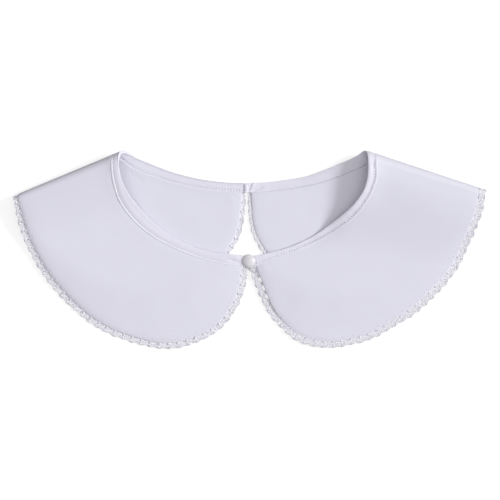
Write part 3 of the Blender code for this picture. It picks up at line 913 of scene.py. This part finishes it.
def pearl_finish(name):
    """A pearly button, clouded with warm grey."""
    finish = Finish(name, 0.4, coat_weight=0.16, coat_roughness=0.06)
    cloud = finish.noise(330.0, 3.0)
    finish.color(finish.blend(cloud, (0.52, 0.5, 0.525, 1.0), (0.68, 0.665, 0.7, 1.0)))
    finish.bump(finish.noise(700.0, 1.0), distance=0.00003, strength=0.2)
    return finish.material


def floor_finish():
    """A pale paper sweep that glows a little, so shadows on it stay faint."""
    finish = Finish("white_floor", 0.9, emission_strength=1.0)
    grain = finish.noise(40.0, 2.0)
    finish.color(finish.blend(grain, (0.33, 0.33, 0.33, 1.0), (0.35, 0.35, 0.35, 1.0)))
    finish.shader.inputs["Emission Color"].default_value = (0.7, 0.7, 0.705, 1.0)
    return finish.material


# The collar's pieces


def take(piece, slot, *nodes):
    """Rides the piece on the collar's body and has it stand for its solids."""
    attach(piece, "root")
    if nodes:
        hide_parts(*nodes)
    return piece


def flat_cut(pattern):
    """Width, length and area of a flat pattern, in metres."""
    size = np.ptp(pattern.reshape(-1, 2), axis=0) * MM
    a, b, c, d = pattern[:-1, :-1], pattern[1:, :-1], pattern[1:, 1:], pattern[:-1, 1:]
    p, q = c - a, d - b
    area = np.abs(p[..., 0] * q[..., 1] - p[..., 1] * q[..., 0]).sum() / 2 * MM * MM
    return tuple(float(x) for x in size), float(area)


def make_cloth(fold, finish):
    pattern = panel_pattern(fold)
    thick = panel_thickness(fold, pattern)
    points, faces = shell(fold.middle(pattern, thick), thick)
    word = fold.half.word
    piece = add_piece(f"cloth_{word}", points, faces, finish, fold.half.side)
    return take(piece, "collar_cotton", f"collar_{word}"), flat_cut(pattern)


def make_binding(fold, finish):
    pattern, from_neck, from_seam, along = binding_pattern(fold)
    thick = binding_thickness(fold, from_neck, from_seam, along)
    points, faces = shell(fold.middle(pattern, thick), thick, BINDING_ROUND)
    word = fold.half.word
    piece = add_piece(f"neck_binding_{word}", points, faces, finish, fold.half.side)
    # The strip is cut straight and bends to the neck as it is sewn
    strip = (BINDING_CUT * MM, float(along.max()) * MM)
    return take(piece, "binding_cotton", f"binding_{word}"), strip


def make_binding_stitches(fold, finish):
    """The stitches in the binding's valley, on the face that shows."""
    threads = Threads()
    curve = fold.seam.shifted(-STITCH_IN)
    rng = np.random.default_rng(11)
    for first, last, face in fold.showing(curve, start=1.0, end=1.0):
        centre = np.arange(first, last, STITCH_PITCH)
        share = np.linspace(-0.5, 0.5, 7)
        slant = 0.3 + 0.12 * rng.standard_normal(len(centre))
        distance = centre[:, None] + share * STITCH_PITCH * 0.72
        out = share * slant[:, None]
        pattern = curve.beside(distance, out)
        height = 0.02 - 0.8 * share**2 + np.zeros_like(distance)
        along = distance / curve.length * fold.neck.length
        thick = binding_thickness(fold, np.full(along.shape, 9.0), STITCH_IN - out, along)
        paths, ups = fold.on_face(pattern, thick, height - 0.05, face)
        threads.add(paths, ups, STITCH_THREAD, sides=6)
    piece = threads.piece(f"binding_stitches_{fold.half.word}", finish, fold.half.side)
    return take(piece, "binding_cotton")


def make_edge_stitches(fold, finish):
    """Small stitches just inside the cloth's outer edge, on the face that shows."""
    threads = Threads()
    edge = fold.edge
    rng = np.random.default_rng(23)
    for first, last, face in fold.showing(edge, start=4.0, end=3.0):
        centre = np.arange(first, last, EDGE_STITCH_PITCH)
        share = np.linspace(-0.5, 0.5, 6)
        lean = np.where(np.arange(len(centre)) % 2, 0.7, -0.7)
        lean = lean + 0.1 * rng.standard_normal(len(centre))
        distance = centre[:, None] + share * EDGE_STITCH_PITCH * 0.6
        out = -EDGE_STITCH_IN + share * lean[:, None]
        pattern = edge.beside(distance, out)
        thick = panel_thickness(fold, pattern)
        height = 0.03 - 0.7 * share**2 + np.zeros_like(distance)
        paths, ups = fold.on_face(pattern, thick, height, face)
        threads.add(paths, ups, EDGE_STITCH_THREAD)
    piece = threads.piece(f"edge_stitches_{fold.half.word}", finish, fold.half.side)
    return take(piece, "collar_cotton")


class Lace:
    """The edging's threads along one half's outer edge, drawn scallop by scallop."""

    def __init__(self, fold, first, last, seed):
        self.fold = fold
        self.edge = fold.edge
        self.pitch = fold.pitch
        self.scallops = np.arange(first, last)
        self.rng = np.random.default_rng(seed)
        self.threads = Threads()
        self.share = (self.scallops + 0.5) / fold.scallops
        self.scale = np.interp(self.share, *np.array(fold.half.lace_width).T) / LACE_FULL
        self.rise = smooth_table(self.share, fold.half.lace_rise)
        self.closed = np.ones(len(self.scallops), dtype=bool)
        for start, end in fold.half.open_gaps:
            self.closed &= (self.share < start) | (self.share > end)

    def shake(self, amount):
        """A small change of its own for each scallop."""
        return amount * self.rng.standard_normal(len(self.scallops))[:, None]

    def lay(self, along, out, height):
        """Thread paths from shares along a scallop and millimetres out and up."""
        distance = (self.scallops[:, None] + along) * self.pitch
        end = self.edge.length
        inside = np.clip(distance, 0.2, end - 0.2)
        distance = inside + 0.1 * (distance - inside)
        pattern = self.edge.beside(distance, out * self.scale[:, None])
        thick = np.full(distance.shape, LACE_THICK)
        up = self.fold.out(pattern, thick)
        seen = np.where(np.cos(self.fold.turn(pattern)) < 0, -1.0, 1.0)
        height = (height + self.rise[:, None]) * seen
        return self.fold.place(pattern, thick) + up * height[..., None], up

    def ground(self):
        """The close net under the threads, held off the cloth where gaps stay open."""
        share = np.arange(GROUND_STEPS) / GROUND_STEPS
        lobe = 2.6 + 1.2 * np.sin(math.pi * ((share + LOBE_SHIFT) % 1.0)) ** 0.6
        gap = 2.0 * np.sin(math.pi * share) ** 2
        inner = -0.3 + np.where(self.closed, 0.0, 1.0)[:, None] * gap
        rows = []
        for part in np.linspace(0.0, 1.0, 7):
            out = inner + (lobe - inner) * part
            paths, _ = self.lay(share[None, :] + self.shake(0.0), out, GROUND_HEIGHT)
            rows.append(paths.reshape(-1, 3))
        middle = np.stack(rows, axis=1)
        return shell(middle, np.full(middle.shape[:2], GROUND_THICK), GROUND_THICK / 2)

    def loops(self):
        """A slanted loop in each scallop, its inner end under the one beside it."""
        turn = circle(44)
        reach, width = 0.53 + self.shake(0.02), 0.62 + self.shake(0.05)
        lean = 1.1 + self.shake(0.1)
        along = 0.46 + self.shake(0.02) + reach * np.cos(turn)
        along = along + width / self.pitch * 0.35 * np.sin(turn)
        out = 2.35 + self.shake(0.08) - lean * np.cos(turn) + width * np.sin(turn)
        height = 0.02 - 0.16 * np.cos(turn)
        self.threads.add_twisted(*self.lay(along, out, height), CORD, closed=True)

    def picots(self):
        """The rounded outer thread from scallop to scallop."""
        share = np.linspace(0.0, 1.0, 26)
        bulge = 1.35 + self.shake(0.15)
        along = share - LOBE_SHIFT + 0.06 * np.sin(2 * math.pi * share)
        out = 2.65 + bulge * np.sin(math.pi * share) ** 0.6
        height = 0.1 * np.sin(2 * math.pi * share)
        self.threads.add_twisted(*self.lay(along, out, height), PICOT_CORD)

    def footing(self):
        """The thin cord beside the cloth that the scallops stand on."""
        share = np.linspace(-0.02, 1.02, 20)
        along = share + self.shake(0.0)
        out = 1.05 + 0.1 * np.sin(2 * math.pi * share) + self.shake(0.03)
        paths, ups = self.lay(along, out, -0.2)
        self.threads.add_twisted(paths[self.closed], ups[self.closed], FOOT_CORD)

    def knots(self):
        """The wrapped knots where the loops meet the cloth."""
        share = np.linspace(-1.0, 1.0, 11)
        along = 0.98 + 0.03 * share + self.shake(0.01)
        out = 0.55 + 0.75 * share + self.shake(0.06)
        height = self.fold.half.knot_rise + 0.1 - 0.1 * share
        self.threads.add(*self.lay(along, out, height), KNOT_RADIUS, sides=KNOT_SIDES)

    def tacks(self):
        """The stitches that hold each knot to the cloth's edge."""
        share = np.linspace(0.0, 1.0, 9)
        for shift in (-0.05, 0.05):
            along = 0.98 + shift * (1.0 - 0.6 * share) + self.shake(0.01)
            out = 0.7 - 1.3 * share
            height = 0.42 + 0.15 * np.sin(math.pi * share * 0.8)
            self.threads.add(*self.lay(along, out, height), TACK_THREAD)

    def bars(self):
        """Short threads across the middle of each scallop."""
        share = np.linspace(0.0, 1.0, 8)
        for start, end, low, high in ((0.22, 0.5, 0.6, 2.2), (0.62, 0.8, 0.6, 2.0)):
            along = start + (end - start) * share + self.shake(0.015)
            out = low + (high - low) * share
            height = -0.16 + 0.1 * np.sin(math.pi * share)
            paths, ups = self.lay(along, out, height)
            self.threads.add(paths[self.closed], ups[self.closed], BAR_THREAD)

    def make(self, name, finish):
        self.loops()
        self.picots()
        self.footing()
        self.knots()
        self.tacks()
        self.bars()
        points, faces = self.ground()
        shift = self.threads.count
        faces = self.threads.faces + [tuple(shift + i for i in face) for face in faces]
        points = np.vstack(self.threads.points + [points])
        half = self.fold.half
        piece = add_piece(name, points, faces, finish, half.side)
        return take(piece, "lace_cotton", f"lace_{half.word}")


def make_lace(fold, finish):
    total = fold.scallops
    middle = total // 2
    word = fold.half.word
    front = Lace(fold, 0, middle, 5 + fold.half.side).make(f"lace_{word}_front", finish)
    back = Lace(fold, middle, total, 8 + fold.half.side).make(f"lace_{word}_back", finish)
    return [front, back]


def make_button(finish):
    """A pearl half-ball on a shank, standing where its solid stands."""
    low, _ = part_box("button")
    base, dome = SHANK_HEIGHT, BUTTON_DOME - BUTTON_RIM
    profile = [(SHANK_RADIUS, 0.0), (SHANK_RADIUS, base), (BUTTON_RADIUS - BUTTON_RIM, base)]
    for degrees in range(-60, 0, 15):
        angle = math.radians(degrees)
        profile.append((
            BUTTON_RADIUS - BUTTON_RIM * 0.6 * (1 - math.cos(angle)),
            base + BUTTON_RIM * (1 + math.sin(angle)),
        ))
    for k in range(DOME_STEPS):
        angle = math.pi / 2 * k / DOME_STEPS
        profile.append((BUTTON_RADIUS * math.cos(angle), base + BUTTON_RIM + dome * math.sin(angle)))
    sides = BUTTON_SIDES
    angle = circle(sides)
    turned = np.array([np.stack([r * np.cos(angle), r * np.sin(angle), np.full(sides, z)], axis=1)
                       for r, z in profile])
    rows = len(profile)
    tip = np.array([[0.0, 0.0, 0.0], [0.0, 0.0, base + BUTTON_RIM + dome]])
    points = np.vstack([turned.reshape(-1, 3), tip])
    ring = np.arange(sides)
    after = np.roll(ring, -1)
    faces = []
    for row in range(rows - 1):
        low_ring, high_ring = row * sides, (row + 1) * sides
        quads = np.stack([low_ring + ring, low_ring + after, high_ring + after, high_ring + ring], axis=1)
        faces += [tuple(face) for face in quads.tolist()]
    foot, crown = rows * sides, rows * sides + 1
    last = (rows - 1) * sides
    faces += [(foot, int(b), int(a)) for a, b in zip(ring, after)]
    faces += [(crown, int(last + a), int(last + b)) for a, b in zip(ring, after)]
    points = points + np.array([BUTTON_X, BUTTON_Y, low[2] / MM])
    button = add_piece("pearl_button", points, faces, finish)
    # The cloth beside the button shows no shadow of it
    button.visible_shadow = False
    return take(button, "button_pearl", "button")


def make_loop(finish):
    """The twisted thread loop round the shank."""
    low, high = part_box("button_loop")
    turn = circle(LOOP_STEPS)
    height = (low[2] + high[2]) / 2 / MM
    path = np.stack([
        BUTTON_X + LOOP_RADIUS * np.cos(turn),
        BUTTON_Y + LOOP_RADIUS * np.sin(turn),
        np.full(LOOP_STEPS, height),
    ], axis=1)
    threads = Threads()
    ups = np.broadcast_to(np.array([0.0, 0.0, 1.0]), path.shape)
    threads.add_twisted(path[None], ups[None], LOOP_THREAD / 2, closed=True, twist=LOOP_TWIST)
    return take(threads.piece("thread_loop", finish), "loop_thread", "button_loop")


# The setting


def make_floor():
    """A plain white floor under the collar."""
    corners = np.array([(-1, -1), (1, -1), (1, 1), (-1, 1)]) * FLOOR_HALF
    points = np.column_stack([corners, np.full(4, FLOOR_LEVEL)])
    floor = add_piece("floor", points, [(0, 1, 2, 3)], floor_finish())
    # The paper's own glow stays off the cloth
    floor.visible_diffuse = False


def make_lights():
    """A soft key from the right and a pale even surround."""
    lamp = bpy.data.lights.new("key", "SUN")
    lamp.energy = KEY_POWER
    lamp.angle = math.radians(KEY_SPREAD)
    key = bpy.data.objects.new("key", lamp)
    azimuth, elevation = math.radians(KEY_AZIMUTH), math.radians(KEY_ELEVATION)
    toward = Vector((
        math.cos(azimuth) * math.cos(elevation),
        math.sin(azimuth) * math.cos(elevation),
        math.sin(elevation),
    ))
    key.rotation_mode = "QUATERNION"
    key.rotation_quaternion = toward.to_track_quat("Z", "Y")
    bpy.context.scene.collection.objects.link(key)
    world = bpy.data.worlds.new("studio")
    nodes = Nodes(world)
    place = nodes.node("ShaderNodeTexCoord", {}, {}, "Generated")
    height = nodes.node("ShaderNodeSeparateXYZ", {}, {0: place}, 2)
    overhead = height.math("MAXIMUM", height, 0.0)
    sky = nodes.blend(overhead * overhead * overhead, SKY_LOW, SKY_HIGH)
    nodes.tree.links.new(sky.socket, nodes.tree.nodes["Background"].inputs["Color"])
    bpy.context.scene.world = world


def make_camera():
    camera = bpy.data.cameras.new("camera")
    camera.lens = LENS
    camera.sensor_width = SENSOR
    camera.clip_end = 20.0
    eye = bpy.data.objects.new("camera", camera)
    eye.location = (CAMERA_X * MM, CAMERA_Y * MM, FIELD * LENS / SENSOR * MM)
    bpy.context.scene.collection.objects.link(eye)
    bpy.context.scene.camera = eye
    bpy.context.scene.view_settings.view_transform = "Standard"


def main():
    cotton = cotton_finish(
        "collar_cotton", (0.63, 0.62, 0.70, 1.0), (0.65, 0.645, 0.73, 1.0), pitch=0.0004
    )
    bias = cotton_finish(
        "binding_cotton", (0.64, 0.63, 0.71, 1.0), (0.67, 0.66, 0.745, 1.0), pitch=0.00035
    )
    # The lace thread's dark grey end gives painted shade: dark spots standing in for the shade in the
    # lace's small gaps
    thread = thread_finish(
        "lace_cotton", (0.36, 0.35, 0.41, 1.0), (0.95, 0.94, 0.98, 1.0), scale=1200.0
    )
    sewing = thread_finish(
        "sewing_cotton", (0.62, 0.61, 0.68, 1.0), (0.68, 0.67, 0.74, 1.0), scale=2600.0
    )
    for half in (LEFT, RIGHT):
        fold = Fold(half)
        cloth, (flat, area) = make_cloth(fold, cotton)
        binding, strip = make_binding(fold, bias)
        stitches = make_binding_stitches(fold, sewing)
        edge_stitches = make_edge_stitches(fold, sewing)
        lace = make_lace(fold, thread)
    make_button(pearl_finish("button_pearl"))
    make_loop(sewing)
    make_floor()
    make_lights()
    make_camera()


main()
